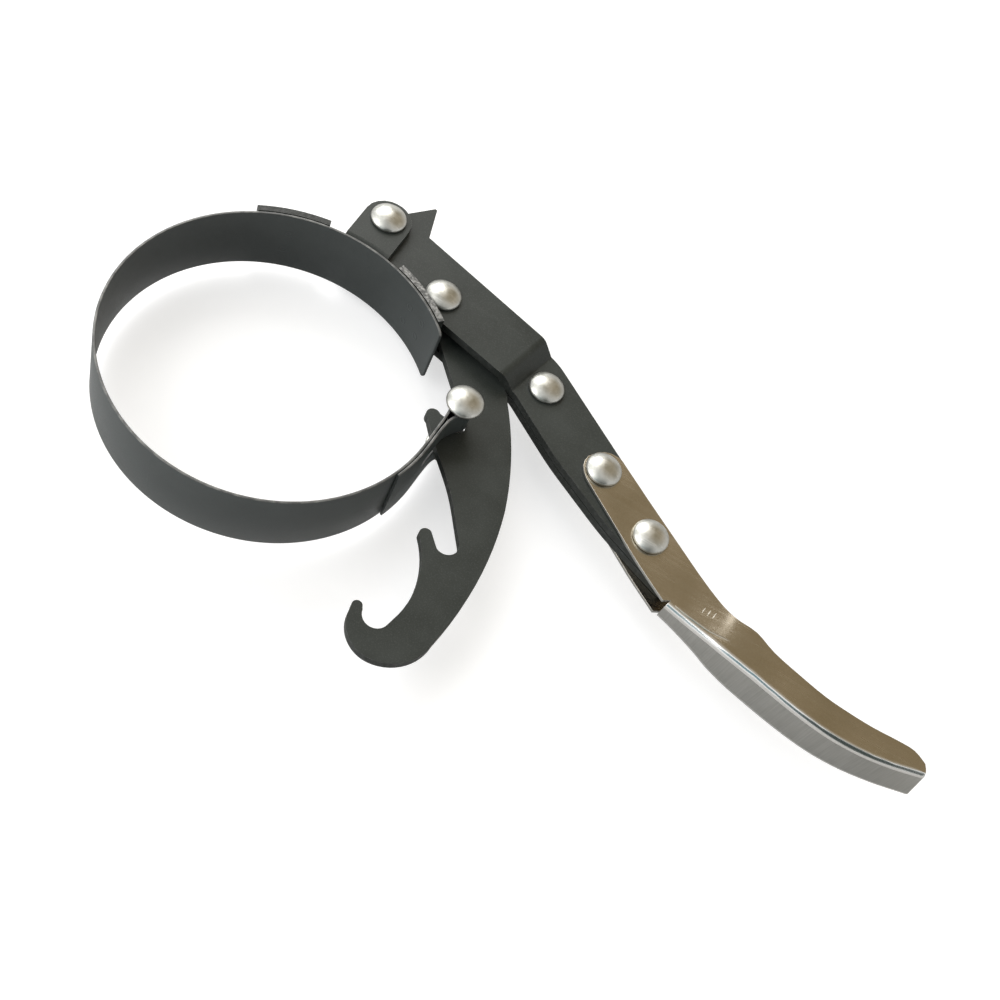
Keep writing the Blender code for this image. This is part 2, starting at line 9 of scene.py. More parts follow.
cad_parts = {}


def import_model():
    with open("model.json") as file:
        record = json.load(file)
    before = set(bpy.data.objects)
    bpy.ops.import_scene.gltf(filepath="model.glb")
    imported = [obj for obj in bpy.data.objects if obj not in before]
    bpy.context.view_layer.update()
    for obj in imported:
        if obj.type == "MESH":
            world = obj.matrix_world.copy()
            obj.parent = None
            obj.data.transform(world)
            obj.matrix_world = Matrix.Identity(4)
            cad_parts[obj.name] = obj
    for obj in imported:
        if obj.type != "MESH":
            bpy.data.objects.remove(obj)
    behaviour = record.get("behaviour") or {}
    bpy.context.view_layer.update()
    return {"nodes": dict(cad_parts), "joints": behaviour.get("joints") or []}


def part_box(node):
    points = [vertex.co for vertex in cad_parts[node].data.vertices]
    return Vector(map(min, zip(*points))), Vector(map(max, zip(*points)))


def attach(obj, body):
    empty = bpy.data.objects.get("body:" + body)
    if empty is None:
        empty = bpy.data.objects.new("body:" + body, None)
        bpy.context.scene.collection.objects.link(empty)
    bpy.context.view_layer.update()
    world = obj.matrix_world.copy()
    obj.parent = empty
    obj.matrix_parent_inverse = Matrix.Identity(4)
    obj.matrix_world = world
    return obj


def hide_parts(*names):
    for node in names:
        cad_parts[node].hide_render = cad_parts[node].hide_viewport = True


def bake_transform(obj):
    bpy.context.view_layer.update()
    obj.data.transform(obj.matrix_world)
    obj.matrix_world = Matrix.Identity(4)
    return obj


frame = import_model()

MM = 0.001
JOINTS = {joint["name"]: joint for joint in frame["joints"]}

# The loop's centre on the tool's middle plane: the strap flexes at the far left of its middle line.
STRAP_THICKNESS = 0.7 * MM
STRAP_HALF_WIDTH = (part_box("strap_fixed_half")[1].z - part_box("strap_fixed_half")[0].z) / 2
STRAP_MIDDLE = 44.35 * MM
FLEX = Vector(JOINTS["strap_flex"]["pos_m"])
CENTRE = FLEX + Vector((STRAP_MIDDLE, 0, 0))
PIN = Vector(JOINTS["pin_turn"]["pos_m"])

# The constants from here to the tool marks are in millimetres and degrees unless they say otherwise.
# The strap is laid out by angle round the loop, and in plan from the loop's centre.
STRAP_END = 44.6
STRAP_CORNER_END = 47.6
STRAP_CORNER_RADIUS = 1.6
STRAP_CORNER_STEP = 0.2
STRAP_EDGE_RADIUS = 0.16
STRAP_UPPER_SEAM = 100
STRAP_LOWER_SEAM = 260
STRAP_LOOP_END = 358
TAIL_FROM = -2
TAIL_TO = -18
TAIL_OFFSET = 0.85
PIN_WRAP = 2.7
PIN_MEET = 205
PIN_LEAVE = -46
PIN_WRAP_STEP = 6
NECK_STEPS = 8
NECK_IN = ((44.5, 4.0), (44.65, 9.0))
NECK_OUT = ((46.4, 9.6), (45.6, 5.8))
SLOT_X = (41.0, 53.0)
SLOT_Y = (-0.8, 22.0)
SLOT_Z = (-1.5, 1.5)

# Spot welds: (angle, height) of each, and a dimple's profile as (radius, lift), centre first.
SPOT_WELDS = ((56, 3.5), (57, -3.2), (64, 3.1), (65, -3.6), (116, 3.3), (117, -3.1))
WELD_PROFILE = ((0.0, -0.02), (0.55, -0.01), (0.8, 0.07), (1.0, 0.08), (1.25, -0.02))
WELD_SIDES = 16

# Rivet heads: a low dome over a short rim. HEAD_HEIGHT, HEAD_RIM and HEAD_FLAT are in metres, and
# HEAD_RIM_PROFILE is (share of the head's radius, share of the rim's height).
HEAD_HEIGHT = 2.9 * MM
HEAD_RIM = 0.75 * MM
HEAD_RIM_PROFILE = ((0.993, 0.8), (1.0, 0.5), (0.985, 0.15), (0.95, 0.0))
HEAD_FLAT = 0.05 * MM
HEAD_FLAT_REACH = 0.35
DOME_REACH = 0.97
DOME_RINGS = 16
SHANK_RADIUS = 2.3
PIN_SHANK_RADIUS = 2.25

# Pressed plates and the folded grip. CELL and MERGE_DISTANCE are in metres, and LEVEL is a normal's height.
PRESSED_EDGE = 0.18
FOLDED_EDGE = 0.15
CELL = 6.5 * MM
MERGE_DISTANCE = 2e-6
FLAT_WITHIN = 0.4
LEVEL = 0.9995
PLATE_SMOOTHING = 38
GRIP_SMOOTHING = 35

# The grip's fold ridge in plan from the loop's centre, and how a ridge is laid out.
FOLD_RIDGE = ((119.4, -0.3), (124.4, -1.4), (129.9, -2.4), (136.3, -2.5))
RIDGE_ROWS = 5
RIDGE_SINK = 0.03
RIDGE_TIP_SHARE = 0.3

# Tool marks on the grip's flare.
TOOL_MARKS = 3
TOOL_MARK_START = (126.6, 1.2)
TOOL_MARK_STEP = 1.5
TOOL_MARK_LENGTH = 2.8
TOOL_MARK_HEADING = (0.2, 0.98)

# The stage, in metres and watts.
FLOOR_HALF_SIZE = 3.0
FLOOR_LEVEL = -0.0002
FLOOR_GLOW = 0.60
ROOM_WHITE = (0.95, 0.96, 0.97, 1)


def place(x, y, z=0.0):
    """A point given in millimetres from the loop's centre."""
    return CENTRE + Vector((x, y, z)) * MM


# ---------------------------------------------------------------- material nodes


class Nodes:
    """A short way to write a material's node tree."""

    def __init__(self, name):
        self.material = bpy.data.materials.new(name)
        self.material.use_nodes = True
        self.tree = self.material.node_tree
        self.shader = self.tree.nodes["Principled BSDF"]
        coordinates = self.tree.nodes.new("ShaderNodeTexCoord")
        self.point = coordinates.outputs["Object"]

    def add(self, kind, inputs=None, **settings):
        node = self.tree.nodes.new(kind)
        for key, value in settings.items():
            setattr(node, key, value)
        for key, value in (inputs or {}).items():
            self.join(value, node.inputs[key])
        return node

    def join(self, value, socket):
        if isinstance(value, bpy.types.NodeSocket):
            self.tree.links.new(value, socket)
        else:
            socket.default_value = value

    def noise(self, scale, detail=3.0, stretch=(1, 1, 1), turn=0.0, roughness=0.55):
        """Noise with scale in waves per metre, drawn out along an axis by a stretch under 1."""
        mapping = self.add(
            "ShaderNodeMapping",
            {"Vector": self.point, "Scale": stretch, "Rotation": (0, 0, math.radians(turn))},
        )
        made = self.add(
            "ShaderNodeTexNoise",
            {"Vector": mapping.outputs[0], "Scale": scale, "Detail": detail, "Roughness": roughness},
        )
        return made.outputs["Fac"]

    def ramp(self, value, low, high, first=0.0, last=1.0):
        made = self.add(
            "ShaderNodeMapRange",
            {"Value": value, "From Min": low, "From Max": high, "To Min": first, "To Max": last},
        )
        return made.outputs["Result"]

    def math(self, operation, a, b):
        return self.add("ShaderNodeMath", {0: a, 1: b}, operation=operation).outputs[0]

    def mix(self, share, first, last):
        made = self.add("ShaderNodeMix", {"Factor": share}, data_type="RGBA")
        self.join((*first, 1.0) if isinstance(first, tuple) else first, made.inputs["A"])
        self.join((*last, 1.0) if isinstance(last, tuple) else last, made.inputs["B"])
        return made.outputs["Result"]

    def bump(self, height, depth_mm, after=None):
        inputs = {"Height": height, "Distance": depth_mm * MM, "Strength": 1.0}
        if after is not None:
            inputs["Normal"] = after
        return self.add("ShaderNodeBump", inputs).outputs[0]

    def finish(self, colour, roughness, metallic=0.0, normal=None):
        self.join((*colour, 1.0) if isinstance(colour, tuple) else colour, self.shader.inputs["Base Color"])
        self.join(roughness, self.shader.inputs["Roughness"])
        self.shader.inputs["Metallic"].default_value = metallic
        if normal is not None:
            self.join(normal, self.shader.inputs["Normal"])
        return self.material


def black_oxide(name, dark=(0.020, 0.024, 0.021), light=(0.034, 0.039, 0.035), rough=0.46, shine=0.34):
    """Oxide-blackened sheet: cloudy tone, fine grain, and a few rubbed scratches."""
    n = Nodes(name)
    cloud = n.noise(70, 4)
    tone = n.mix(n.ramp(cloud, 0.3, 0.7), dark, light)
    scratch = n.ramp(n.noise(260, 2, (0.05, 1, 1), 35), 0.68, 0.76)
    other = n.ramp(n.noise(210, 2, (0.04, 1, 1), -28), 0.70, 0.78)
    specks = n.ramp(n.noise(900, 2), 0.74, 0.80)
    rubbed = n.math("MULTIPLY", n.math("MAXIMUM", scratch, other), 0.12)
    tone = n.mix(n.math("MAXIMUM", rubbed, n.math("MULTIPLY", specks, 0.4)), tone, (0.085, 0.09, 0.085))
    grain = n.noise(2600, 3)
    tone = n.mix(n.ramp(grain, 0.50, 0.68, 0.0, 0.30), tone, (0.075, 0.08, 0.075))
    even = n.ramp(cloud, 0.25, 0.75, rough - 0.05, rough + 0.06)
    roughness = n.math("ADD", even, n.ramp(grain, 0.3, 0.7, -0.04, 0.04))
    n.shader.inputs["Specular IOR Level"].default_value = shine
    return n.finish(tone, roughness, 0.0, n.bump(cloud, 0.03, n.bump(grain, 0.012)))


def sheared_edge(name, high, most):
    """The cut edge of a blackened plate: torn across its thickness, with rubbed high spots."""
    n = Nodes(name)
    tears = n.noise(900, 3, (1, 1, 0.25))
    rub = n.ramp(n.noise(650, 4), 0.50, 0.66)
    tone = n.mix(n.math("MULTIPLY", rub, most), (0.022, 0.025, 0.022), high)
    n.shader.inputs["Specular IOR Level"].default_value = 0.35
    return n.finish(tone, n.ramp(tears, 0.3, 0.7, 0.35, 0.6), 0.0, n.bump(tears, 0.05))


def torn_rim(name):
    """A rim torn bright in the press: coarse sparkling grain over grey metal."""
    n = Nodes(name)
    grain = n.noise(1300, 4, roughness=0.7)
    tone = n.mix(n.ramp(grain, 0.42, 0.66), (0.07, 0.072, 0.07), (0.34, 0.34, 0.33))
    return n.finish(tone, n.ramp(grain, 0.3, 0.7, 0.5, 0.3), 0.35, n.bump(grain, 0.09))


def edge_wear_and_sheen(name, low=(0.04, 0.043, 0.04), high=(0.20, 0.20, 0.19)):
    """The narrow bevel round a plate, where the oxide is rubbed thin; in the strap's lighter tones the same
    mix is a painted highlight along the strap's rims.
    """
    n = Nodes(name)
    rub = n.ramp(n.noise(300, 4), 0.42, 0.72)
    return n.finish(n.mix(rub, low, high), 0.40, 0.2)


def zinc(name):
    """Satin zinc plating with fine random scratches."""
    n = Nodes(name)
    cloud = n.noise(480, 4)
    first = n.ramp(n.noise(1500, 2, (0.06, 1, 1), 20), 0.60, 0.72)
    second = n.ramp(n.noise(1300, 2, (0.06, 1, 1), -50), 0.62, 0.74)
    scratch = n.math("MAXIMUM", first, second)
    tone = n.mix(n.ramp(cloud, 0.3, 0.7), (0.44, 0.44, 0.40), (0.62, 0.615, 0.575))
    tone = n.mix(n.math("MULTIPLY", scratch, 0.35), tone, (0.82, 0.81, 0.78))
    roughness = n.math("ADD", n.ramp(cloud, 0.3, 0.7, 0.34, 0.44), n.math("MULTIPLY", scratch, -0.06))
    return n.finish(tone, roughness, 1.0, n.bump(cloud, 0.03, n.bump(scratch, 0.006)))


def nickel_flange(name):
    """Bright nickel over rolled sheet, with fine grain and a few pits."""
    n = Nodes(name)
    cloud = n.noise(60, 4)
    grain = n.noise(1900, 3)
    pits = n.ramp(n.noise(1400, 2), 0.70, 0.78)
    drawn = n.noise(1100, 3, (0.04, 1, 1), 28)
    tone = n.mix(n.ramp(cloud, 0.3, 0.7), (0.46, 0.42, 0.345), (0.55, 0.50, 0.42))
    tone = n.mix(n.ramp(grain, 0.25, 0.75, 0.0, 0.25), tone, (0.32, 0.27, 0.20))
    tone = n.mix(n.math("MULTIPLY", pits, 0.5), tone, (0.25, 0.22, 0.17))
    roughness = n.math("ADD", n.ramp(cloud, 0.3, 0.7, 0.21, 0.28), n.ramp(drawn, 0.3, 0.7, -0.03, 0.05))
    return n.finish(tone, roughness, 1.0, n.bump(drawn, 0.003, n.bump(cloud, 0.05)))


def nickel_web(name):
    """The web is finely brushed across, which leaves it duller than the flanges; its greyer, slightly
    darker tone than the flanges' is painted reflection on the upright side of the same sheet.
    """
    n = Nodes(name)
    brushed = n.noise(2600, 2, (1, 1, 0.03))
    cloud = n.noise(110, 3)
    tone = n.mix(n.ramp(brushed, 0.3, 0.7), (0.43, 0.425, 0.40), (0.52, 0.515, 0.49))
    tone = n.mix(n.ramp(cloud, 0.3, 0.7, 0.0, 0.3), tone, (0.38, 0.375, 0.35))
    return n.finish(tone, n.ramp(cloud, 0.3, 0.7, 0.38, 0.46), 1.0, n.bump(brushed, 0.004))


def fold_highlight_nickel(name):
    """The fold, painted in a bright colour as a painted highlight along the bend; its low roughness is the
    fold's own.
    """
    n = Nodes(name)
    cloud = n.noise(160, 3)
    return n.finish(n.mix(n.ramp(cloud, 0.3, 0.7), (0.78, 0.77, 0.74), (0.90, 0.89, 0.87)), 0.20, 1.0)


def scuffed_nickel(name):
    n = Nodes(name)
    grain = n.noise(2200, 3)
    return n.finish(n.mix(n.ramp(grain, 0.3, 0.7), (0.52, 0.49, 0.43), (0.68, 0.65, 0.58)), 0.45, 0.8)


def plain_steel(name):
    n = Nodes(name)
    turned = n.noise(900, 3, (1, 1, 0.1))
    tone = n.mix(n.ramp(turned, 0.3, 0.7), (0.30, 0.30, 0.29), (0.42, 0.42, 0.41))
    return n.finish(tone, 0.42, 1.0, n.bump(turned, 0.01))


FACE = black_oxide("oxide_face")
STRAP = black_oxide("oxide_strap", (0.040, 0.047, 0.046), (0.053, 0.061, 0.060), 0.38, 0.55)
CUT = sheared_edge("oxide_cut_edge", (0.06, 0.062, 0.06), 0.4)
TORN = torn_rim("torn_rim")
TAB_EDGE = edge_wear_and_sheen("tab_edge", (0.07, 0.072, 0.068), (0.34, 0.34, 0.33))
WORN = edge_wear_and_sheen("oxide_worn_edge")
# The strap's rims are painted lighter than the strap: a painted highlight along its edges.
STRAP_RIM = edge_wear_and_sheen("strap_rim", (0.08, 0.082, 0.08), (0.22, 0.22, 0.21))
ZINC = zinc("zinc_plating")
FLANGE = nickel_flange("nickel_flange")
# The web's greyer tone is painted reflection for the upright side of the grip's sheet.
WEB = nickel_web("nickel_web")
SCUFF = scuffed_nickel("scuffed_nickel")
# The fold's bright colour is a painted highlight along the bend.
FOLD = fold_highlight_nickel("fold_painted_highlight")
STEEL = plain_steel("turned_steel")

# Places of the materials on a plate or the saddle, on the grip and on the strap.
CUT_SLOT, EDGE_SLOT, TORN_SLOT = 1, 2, 3
WEB_SLOT, FOLD_SLOT = 1, 2
RIM_SLOT = 1


# ---------------------------------------------------------------- mesh helpers


def mesh_object(name, points, faces, materials):
    mesh = bpy.data.meshes.new(name)
    mesh.from_pydata([tuple(point) for point in points], [], faces)
    for material in materials:
        mesh.materials.append(material)
    mesh.update()
    obj = bpy.data.objects.new(name, mesh)
    bpy.context.scene.collection.objects.link(obj)
    return obj


def smooth(obj, angle):
    obj.data.shade_smooth()
    obj.data.set_sharp_from_angle(angle=math.radians(angle))


def soften_edges(obj, width_mm, angle, edge_slot=-1):
    """Bevels the edges sharper than the angle; with no slot the bevel keeps its neighbours' material."""
    bevel = obj.modifiers.new("edge", "BEVEL")
    bevel.width = width_mm * MM
    bevel.segments = 2
    bevel.limit_method = "ANGLE"
    bevel.angle_limit = math.radians(angle)
    bevel.material = edge_slot
    settle(obj)


def settle(obj):
    """Applies the object's modifiers to its mesh."""
    graph = bpy.context.evaluated_depsgraph_get()
    mesh = bpy.data.meshes.new_from_object(obj.evaluated_get(graph), depsgraph=graph)
    obj.modifiers.clear()
    obj.data = mesh


def even_out(obj, angle):
    """Smooth shading that leaves each large flat face flat."""
    smooth(obj, angle)
    weighted = obj.modifiers.new("flat faces", "WEIGHTED_NORMAL")
    weighted.keep_sharp = True
    weighted.weight = 90
    settle(obj)


def is_level(face):
    return abs(face.normal.z) > LEVEL


def cut_in_cells(obj):
    """Cuts the mesh along an even grid in plan, so that no level face is left as a long sliver."""
    form = bmesh.new()
    form.from_mesh(obj.data)
    for axis in (0, 1):
        places = [vertex.co[axis] for vertex in form.verts]
        low, high = min(places), max(places)
        for k in range(1, math.ceil((high - low) / CELL)):
            spot, across = Vector(), Vector()
            spot[axis] = low + k * CELL
            across[axis] = 1.0
            everything = form.verts[:] + form.edges[:] + form.faces[:]
            bmesh.ops.bisect_plane(form, geom=everything, dist=1e-6, plane_co=spot, plane_no=across)
    form.to_mesh(obj.data)
    form.free()


def level_shading(obj):
    """Shades every level face exactly flat, whatever its outline."""
    mesh = obj.data
    normals = [tuple(corner.vector) for corner in mesh.corner_normals]
    for face in mesh.polygons:
        if is_level(face):
            for corner in face.loop_indices:
                normals[corner] = (0.0, 0.0, math.copysign(1.0, face.normal.z))
    mesh.normals_split_custom_set(normals)


def fine_copy(node, name, materials):
    """A copy of a CAD node with its flat faces whole again, so that its edges can be rounded."""
    mesh = bpy.data.meshes.new(name)
    form = bmesh.new()
    form.from_mesh(frame["nodes"][node].data)
    bmesh.ops.remove_doubles(form, verts=form.verts, dist=MERGE_DISTANCE)
    bmesh.ops.dissolve_limit(
        form,
        angle_limit=math.radians(FLAT_WITHIN),
        verts=form.verts,
        edges=form.edges,
        delimit={"NORMAL"},
    )
    bmesh.ops.dissolve_degenerate(form, dist=MERGE_DISTANCE, edges=form.edges)
    form.to_mesh(mesh)
    form.free()
    obj = bpy.data.objects.new(name, mesh)
    bpy.context.scene.collection.objects.link(obj)
    mesh.materials.clear()
    for material in materials:
        mesh.materials.append(material)
    for face in mesh.polygons:
        face.material_index = 0
    return obj


def press(obj):
    """Gives a pressed plate its narrow worn bevels and its even shading."""
    soften_edges(obj, PRESSED_EDGE, 45, EDGE_SLOT)
    cut_in_cells(obj)
    even_out(obj, PLATE_SMOOTHING)
    level_shading(obj)


def stands_for(obj, body, slot, *nodes):
    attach(obj, body)
    if nodes:
        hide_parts(*nodes)


# ---------------------------------------------------------------- plates


def plate(node, body, slot):
    """A pressed plate: cut walls, and a narrow worn bevel along every edge."""
    obj = fine_copy(node, node + "_pressed", (FACE, CUT, WORN))
    for face in obj.data.polygons:
        if abs(face.normal.z) < 0.3:
            face.material_index = CUT_SLOT
    press(obj)
    stands_for(obj, body, slot, node)


def saddle():
    """The saddle's walls are faces and its rims are cut; the rim beside the strap's end is torn bright."""
    obj = fine_copy("saddle", "saddle_pressed", (FACE, CUT, TAB_EDGE, TORN))
    for face in obj.data.polygons:
        offset = face.center - CENTRE
        on_rim = abs(face.normal.z) > 0.9 and abs(abs(offset.z) - STRAP_HALF_WIDTH) < 0.1 * MM
        if on_rim:
            face.material_index = TORN_SLOT if offset.x > 0 else CUT_SLOT
    press(obj)
    stands_for(obj, "band", "black_plate", "saddle")


# ---------------------------------------------------------------- rivets


def turned_body(name, profile, centre, material, sides=64):
    """A solid of revolution about an upright axis, from (radius, z) points, top to bottom, axis to axis."""
    points = [Vector((centre.x, centre.y, profile[0][1]))]
    inner = profile[1:-1]
    for radius, z in inner:
        for i in range(sides):
            turn = 2 * math.pi * i / sides
            x = centre.x + radius * math.cos(turn)
            y = centre.y + radius * math.sin(turn)
            points.append(Vector((x, y, z)))
    points.append(Vector((centre.x, centre.y, profile[-1][1])))
    last = len(points) - 1
    faces = []
    for i in range(sides):
        j = (i + 1) % sides
        faces.append((0, 1 + i, 1 + j))
        for k in range(len(inner) - 1):
            a = 1 + k * sides
            faces.append((a + i, a + sides + i, a + sides + j, a + j))
        a = 1 + (len(inner) - 1) * sides
        faces.append((a + i, last, a + j))
    return mesh_object(name, points, faces, (material,))


def rivet(node, body, shank_mm=SHANK_RADIUS):
    """Domed heads at both ends of a shank, each head slightly flattened by the riveting tool."""
    low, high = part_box(node)
    centre = (low + high) / 2
    head = (high.x - low.x) / 2
    under = high.z - HEAD_HEIGHT
    rise = HEAD_HEIGHT - HEAD_RIM
    sphere = (head * head + rise * rise) / (2 * rise)
    profile = []
    for k in range(DOME_RINGS):
        radius = head * DOME_REACH * k / (DOME_RINGS - 1)
        drop = sphere - math.sqrt(sphere * sphere - radius * radius)
        flat = HEAD_FLAT * math.exp(-((radius / (HEAD_FLAT_REACH * head)) ** 2))
        profile.append((radius, high.z - drop - flat))
    profile += [(head * wide, under + HEAD_RIM * tall) for wide, tall in HEAD_RIM_PROFILE]
    profile.append((shank_mm * MM, under))
    profile += [(radius, 2 * centre.z - z) for radius, z in reversed(profile)]
    obj = turned_body(node + "_domed", profile, centre, ZINC)
    smooth(obj, 50)
    stands_for(obj, body, "rivet", node)


# ---------------------------------------------------------------- strap


def strap_piece(name, path, corner_start=False):
    """A length of strap along a path in millimetres from the loop's centre, with rounded long edges."""
    half = STRAP_HALF_WIDTH / MM
    thick = STRAP_THICKNESS / MM / 2
    radius = STRAP_EDGE_RADIUS
    section = []
    for across, along, start in ((-1, -1, 180), (1, -1, 270), (1, 1, 0), (-1, 1, 90)):
        for k in range(4):
            turn = math.radians(start + 30 * k)
            out = across * (thick - radius) + radius * math.cos(turn)
            section.append((out, along, radius * math.sin(turn)))
    points, faces = [], []
    count = len(section)
    travelled = 0.0
    for i, point in enumerate(path):
        before = Vector(path[max(i - 1, 0)])
        after = Vector(path[min(i + 1, len(path) - 1)])
        heading = (after - before).normalized()
        side = Vector((-heading.y, heading.x))
        if i:
            travelled += (Vector(point) - Vector(path[i - 1])).length
        width = half
        left = STRAP_CORNER_RADIUS - travelled
        if corner_start and left > 0:
            width = half - (STRAP_CORNER_RADIUS - math.sqrt(max(0.0, STRAP_CORNER_RADIUS**2 - left**2)))
        for across, along, rise in section:
            spot = Vector(point) - side * across
            points.append(place(spot.x, spot.y, along * (width - radius) + rise))
    for i in range(len(path) - 1):
        for k in range(count):
            a, b = i * count + k, i * count + (k + 1) % count
            faces.append((a, b, b + count, a + count))
    last = (len(path) - 1) * count
    faces.append(tuple(range(count))[::-1])
    faces.append(tuple(range(last, last + count)))
    obj = mesh_object(name, points, faces, (STRAP, STRAP_RIM))
    normals = bmesh.new()
    normals.from_mesh(obj.data)
    bmesh.ops.recalc_face_normals(normals, faces=normals.faces)
    normals.to_mesh(obj.data)
    normals.free()
    # The strap's rims take the lighter rim colour, a painted highlight along the edges.
    for face in obj.data.polygons:
        if abs(face.normal.z) > 0.5:
            face.material_index = RIM_SLOT
    smooth(obj, 60)
    return obj


def circle(radius, start, end, step=1.0):
    count = max(1, math.ceil(abs(end - start) / step))
    turns = [math.radians(start + (end - start) * i / count) for i in range(count + 1)]
    return [(radius * math.cos(turn), radius * math.sin(turn)) for turn in turns]


def smooth_through(rows, count):
    """A Catmull-Rom curve through the points, with count steps between each pair."""
    points = []
    for i in range(len(rows) - 1):
        a, b = Vector(rows[max(i - 1, 0)]), Vector(rows[i])
        c, d = Vector(rows[i + 1]), Vector(rows[min(i + 2, len(rows) - 1)])
        for k in range(count):
            t = k / count
            tangent = (c - a) * t + (2 * a - 5 * b + 4 * c - d) * t * t + (3 * b - a - 3 * c + d) * t**3
            points.append(tuple(b + tangent / 2))
    return points + [tuple(rows[-1])]


def strap_free_path():
    """Round the bottom of the loop, up to the pin, round it and back along the outside."""
    middle = STRAP_MIDDLE / MM
    pin = ((PIN - CENTRE) / MM).xy
    wrap = [(pin.x + x, pin.y + y) for x, y in circle(PIN_WRAP, PIN_MEET, PIN_LEAVE, PIN_WRAP_STEP)]
    loop = circle(middle, STRAP_LOWER_SEAM, STRAP_LOOP_END)
    tail = circle(middle + TAIL_OFFSET, TAIL_FROM, TAIL_TO)
    neck_in = smooth_through([*loop[-2:], *NECK_IN, *wrap[:2]], NECK_STEPS)
    neck_out = smooth_through([*wrap[-2:], *NECK_OUT, *tail[:2]], NECK_STEPS)
    inner = slice(NECK_STEPS, -NECK_STEPS)
    return loop[:-1] + neck_in[inner] + wrap[1:-1] + neck_out[inner] + tail[1:]


def cut_slot(obj):
    """Cuts the slot that the hook plate passes through."""
    (left, right), (near, far) = SLOT_X, SLOT_Y
    corners = ((left, near), (right, near), (right, far), (left, far))
    spots = [place(x, y, z) for z in SLOT_Z for x, y in corners]
    faces = [(3, 2, 1, 0), (4, 5, 6, 7), (0, 1, 5, 4), (1, 2, 6, 5), (2, 3, 7, 6), (3, 0, 4, 7)]
    cutter = mesh_object("slot_cutter", spots, faces, (STRAP_RIM,))
    cut = obj.modifiers.new("slot", "BOOLEAN")
    cut.operation = "DIFFERENCE"
    cut.solver = "EXACT"
    cut.object = cutter
    settle(obj)
    bpy.data.objects.remove(cutter)


def strap():
    middle = STRAP_MIDDLE / MM
    corner = circle(middle, STRAP_END, STRAP_CORNER_END, STRAP_CORNER_STEP)
    rest = circle(middle, STRAP_CORNER_END, STRAP_UPPER_SEAM)[1:]
    upper = strap_piece("strap_upper", corner + rest, corner_start=True)
    stands_for(upper, "band", "strap", "strap_fixed_half")
    left = strap_piece("strap_left", circle(middle, STRAP_UPPER_SEAM, STRAP_LOWER_SEAM))
    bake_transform(left)
    lower = strap_piece("strap_lower", strap_free_path())
    cut_slot(lower)
    smooth(lower, 60)
    stands_for(lower, "strap_tail", "strap", "strap_free_half")


def spot_welds():
    """Shallow dimples on the strap's inner wall, where it is welded to the saddle."""
    inner = STRAP_MIDDLE / MM - STRAP_THICKNESS / MM / 2
    points, faces = [], []
    sides = WELD_SIDES
    for angle, height in SPOT_WELDS:
        first = len(points)
        for radius, lift in WELD_PROFILE:
            for i in range(sides if radius else 1):
                turn = 2 * math.pi * i / sides
                along = math.radians(angle) + radius * math.cos(turn) / inner
                reach = inner - lift
                x, y = reach * math.cos(along), reach * math.sin(along)
                points.append(place(x, y, height + radius * math.sin(turn)))
        ring = first + 1
        for i in range(sides):
            j = (i + 1) % sides
            faces.append((first, ring + i, ring + j))
            for k in range(len(WELD_PROFILE) - 2):
                a = ring + k * sides
                faces.append((a + i, a + sides + i, a + sides + j, a + j))
    obj = mesh_object("spot_welds", points, faces, (STRAP,))
    smooth(obj, 60)
    stands_for(obj, "band", "strap")


# ---------------------------------------------------------------- grip


def grip():
    """The folded sheet: flanges above and below, the brushed web along one side in a greyer tone that is
    painted reflection, and the folds in a bright colour that is a painted highlight.
    """
    obj = fine_copy("grip", "grip_folded", (FLANGE, WEB, FOLD))
    for face in obj.data.polygons:
        # The upright web takes its own greyer nickel tone: painted reflection for that side of the sheet.
        if abs(face.normal.z) < 0.2:
            face.material_index = WEB_SLOT
        # The fold's faces take a bright colour: a painted highlight along the bend.
        elif abs(face.normal.z) < 0.92:
            face.material_index = FOLD_SLOT
    soften_edges(obj, FOLDED_EDGE, 50)
    even_out(obj, GRIP_SMOOTHING)
    stands_for(obj, "handle", "grip", "grip")
    return obj


def sheet_top(obj):
    """A function giving the height of the object's upper face at a point in plan."""
    mesh = obj.data
    corners = [vertex.co for vertex in mesh.vertices]
    tree = BVHTree.FromPolygons(corners, [tuple(face.vertices) for face in mesh.polygons])
    above = 100 * MM

    def height(spot):
        hit = tree.ray_cast(Vector((spot.x, spot.y, above)), Vector((0, 0, -1)))[0]
        return hit.z if hit is not None else CENTRE.z

    return height


def ridge(name, route, half_width_mm, rise_mm, height, material, steps=24):
    """A low smooth ridge on the upper flange along a route in plan, tapering to nothing at both ends."""
    points, faces = [], []
    for i in range(steps + 1):
        t = i / steps
        share = t * (len(route) - 1)
        k = min(int(share), len(route) - 2)
        spot = Vector(route[k]).lerp(Vector(route[k + 1]), share - k)
        heading = (Vector(route[k + 1]) - Vector(route[k])).normalized()
        side = Vector((-heading.y, heading.x))
        swell = math.sin(math.pi * t) ** 0.5
        wide = RIDGE_TIP_SHARE + (1 - RIDGE_TIP_SHARE) * swell
        for j in range(RIDGE_ROWS):
            offset = 2 * j / (RIDGE_ROWS - 1) - 1
            lift = rise_mm * swell * math.cos(math.pi / 2 * offset) - RIDGE_SINK
            there = spot + side * offset * half_width_mm * wide
            at = place(there.x, there.y)
            points.append(Vector((at.x, at.y, height(at) + lift * MM)))
    for i in range(steps):
        for j in range(RIDGE_ROWS - 1):
            a = i * RIDGE_ROWS + j
            faces.append((a, a + RIDGE_ROWS, a + RIDGE_ROWS + 1, a + 1))
    obj = mesh_object(name, points, faces, (material,))
    smooth(obj, 80)
    stands_for(obj, "handle", "grip")


